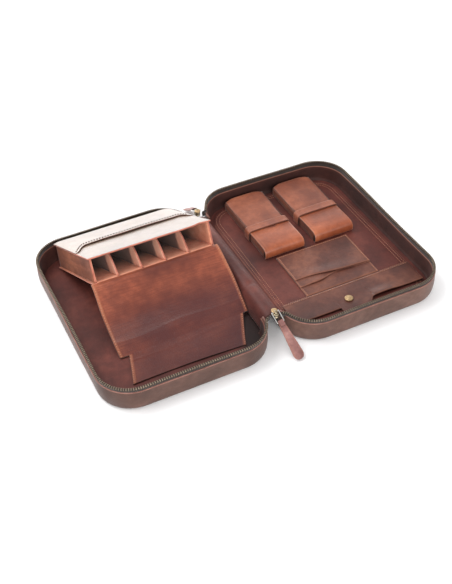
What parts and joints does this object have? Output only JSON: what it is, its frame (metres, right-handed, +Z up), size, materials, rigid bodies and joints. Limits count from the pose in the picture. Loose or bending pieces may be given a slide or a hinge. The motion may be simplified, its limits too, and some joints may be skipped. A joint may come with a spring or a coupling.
{
  "type": "watch box",
  "caption": "Zip-around leather watch case open like a book: a propped tray with a draped flap in one half, pouches and pockets in the lid.",
  "frame": {"origin": "on the surface the case stands on, under the middle of the spine", "axes": "+X to the lid half, +Y to the rear, +Z up"},
  "size_m": [0.508, 0.3698, 0.0941],
  "materials": {
    "outer_leather": "pull-up leather, waxed, semi-matte",
    "lining_leather": "smooth pull-up leather, satin",
    "board": "plain",
    "piping": "raw cut edge, matte",
    "zip_tape": "woven, matte",
    "zip_teeth": "antique, worn",
    "slider_metal": "antique, dark",
    "wire": "polished",
    "pull_leather": "stitched, satin",
    "raw_leather": "raw flesh side, matte",
    "tray_leather": "pull-up leather, glossy",
    "flap_leather": "pull-up leather, waxed, satin",
    "pouch_leather": "pull-up leather, satin",
    "pocket_leather": "pull-up leather, satin",
    "snap_brass": "antique, satin"
  },
  "bodies": {
    "left_half": {"left_cover": "outer_leather", "left_board": "board", "left_lining": "lining_leather", "left_gusset": "outer_leather", "left_piping": "piping", "left_zip_tape": "zip_tape", "left_zip_teeth": "zip_teeth", "spine_leather": "outer_leather", "spine_lining": "lining_leather", "front_slider": "slider_metal", "rear_slider": "slider_metal"},
    "lid_half": {"right_cover": "outer_leather", "right_board": "board", "right_lining": "lining_leather", "right_gusset": "outer_leather", "right_piping": "piping", "right_zip_tape": "zip_tape", "right_zip_teeth": "zip_teeth", "right_panel": "lining_leather", "pouch_1_body": "pouch_leather", "pouch_1_top": "pouch_leather", "pouch_1_strap": "pouch_leather", "pouch_2_body": "pouch_leather", "pouch_2_top": "pouch_leather", "pouch_2_strap": "pouch_leather", "card_pocket_back": "lining_leather", "card_pocket_middle": "lining_leather", "card_pocket_top": "lining_leather", "snap_stud": "snap_brass"},
    "tray": {"tray_base": "raw_leather", "tray_left_wall": "tray_leather", "tray_right_wall": "tray_leather", "tray_back_wall": "tray_leather", "tray_roof": "tray_leather", "tray_band": "tray_leather", "tray_divider_1": "raw_leather", "tray_divider_2": "raw_leather", "tray_divider_3": "raw_leather", "tray_divider_4": "raw_leather"},
    "flap_root": {"flap_welt": "flap_leather"},
    "flap_front": {"flap_front": "flap_leather"},
    "flap_top": {"flap_top": "flap_leather"},
    "flap_tongue": {"flap_tongue": "flap_leather"},
    "pouch_1_fold": {"pouch_1_front": "pouch_leather"},
    "pouch_1_leaf": {"pouch_1_leaf": "pouch_leather"},
    "pouch_2_fold": {"pouch_2_front": "pouch_leather"},
    "pouch_2_leaf": {"pouch_2_leaf": "pouch_leather"},
    "pocket_flap": {"pocket_flap": "pocket_leather", "snap_cap": "snap_brass"},
    "front_pull": {"front_wire_loop": "wire", "front_pull": "pull_leather"},
    "rear_pull": {"rear_wire_loop": "wire", "rear_pull": "pull_leather"}
  },
  "joints": [
    {"name": "case_fold", "type": "hinge", "parent": "left_half", "child": "lid_half", "pos_m": [0, 0, 0.0388], "axis": [0, -1, 0], "range_deg": [0, 179.8], "deforming": ["spine_leather", "spine_lining"]},
    {"name": "tray_lower", "type": "hinge", "parent": "left_half", "child": "tray", "pos_m": [0, 0.1387, 0.0048], "axis": [1, 0, 0], "range_deg": [0, 24.31]},
    {"name": "flap_settle", "type": "hinge", "parent": "tray", "child": "flap_root", "pos_m": [-0.1115, 0.01698, 0.06085], "axis": [-1, 0, 0], "range_deg": [0, 55.31]},
    {"name": "flap_close", "type": "hinge", "parent": "flap_root", "child": "flap_front", "pos_m": [-0.1115, 0.01198, 0.06085], "axis": [1, 0, 0], "range_deg": [-142.3, 0]},
    {"name": "flap_roof_bend", "type": "hinge", "parent": "flap_front", "child": "flap_top", "pos_m": [-0.1115, -0.02775, 0.03973], "axis": [1, 0, 0], "range_deg": [-94.81, 0]},
    {"name": "tongue_bend", "type": "hinge", "parent": "flap_top", "child": "flap_tongue", "pos_m": [-0.1115, -0.07608, 0.00676], "axis": [1, 0, 0], "range_deg": [0, 33.81]},
    {"name": "pouch_1_lean", "type": "hinge", "parent": "lid_half", "child": "pouch_1_fold", "pos_m": [0.0905, 0.0129, 0.00675], "axis": [1, 0, 0], "range_deg": [0, 55.01]},
    {"name": "pouch_1_open", "type": "hinge", "parent": "pouch_1_fold", "child": "pouch_1_leaf", "pos_m": [0.0905, 0.0129, 0.0214], "axis": [1, 0, 0], "range_deg": [0, 105]},
    {"name": "pouch_2_lean", "type": "hinge", "parent": "lid_half", "child": "pouch_2_fold", "pos_m": [0.1745, 0.0129, 0.00675], "axis": [1, 0, 0], "range_deg": [0, 55.01]},
    {"name": "pouch_2_open", "type": "hinge", "parent": "pouch_2_fold", "child": "pouch_2_leaf", "pos_m": [0.1745, 0.0129, 0.0214], "axis": [1, 0, 0], "range_deg": [0, 105]},
    {"name": "pocket_lift", "type": "hinge", "parent": "lid_half", "child": "pocket_flap", "pos_m": [0.135, -0.087, 0.0082], "axis": [-1, 0, 0], "range_deg": [0, 60]},
    {"name": "front_pull_swing", "type": "hinge", "parent": "left_half", "child": "front_pull", "pos_m": [0, -0.125, 0.0422], "axis": [-0.9903, -0.1392, 0], "range_deg": [0, 125]},
    {"name": "rear_pull_swing", "type": "hinge", "parent": "left_half", "child": "rear_pull", "pos_m": [0, 0.125, 0.0422], "axis": [0.9903, -0.1392, 0], "range_deg": [0, 125]}
  ],
  "couplings": [
    {"joint": "tray_lower", "follows": "case_fold", "ratio": 0.13515},
    {"joint": "flap_settle", "follows": "case_fold", "ratio": 0.30756},
    {"joint": "flap_roof_bend", "follows": "flap_close", "ratio": 0.6662},
    {"joint": "tongue_bend", "follows": "flap_close", "ratio": -0.23753},
    {"joint": "pouch_1_lean", "follows": "pouch_1_open", "ratio": 0.52381},
    {"joint": "pouch_2_lean", "follows": "pouch_2_open", "ratio": 0.52381}
  ]
}
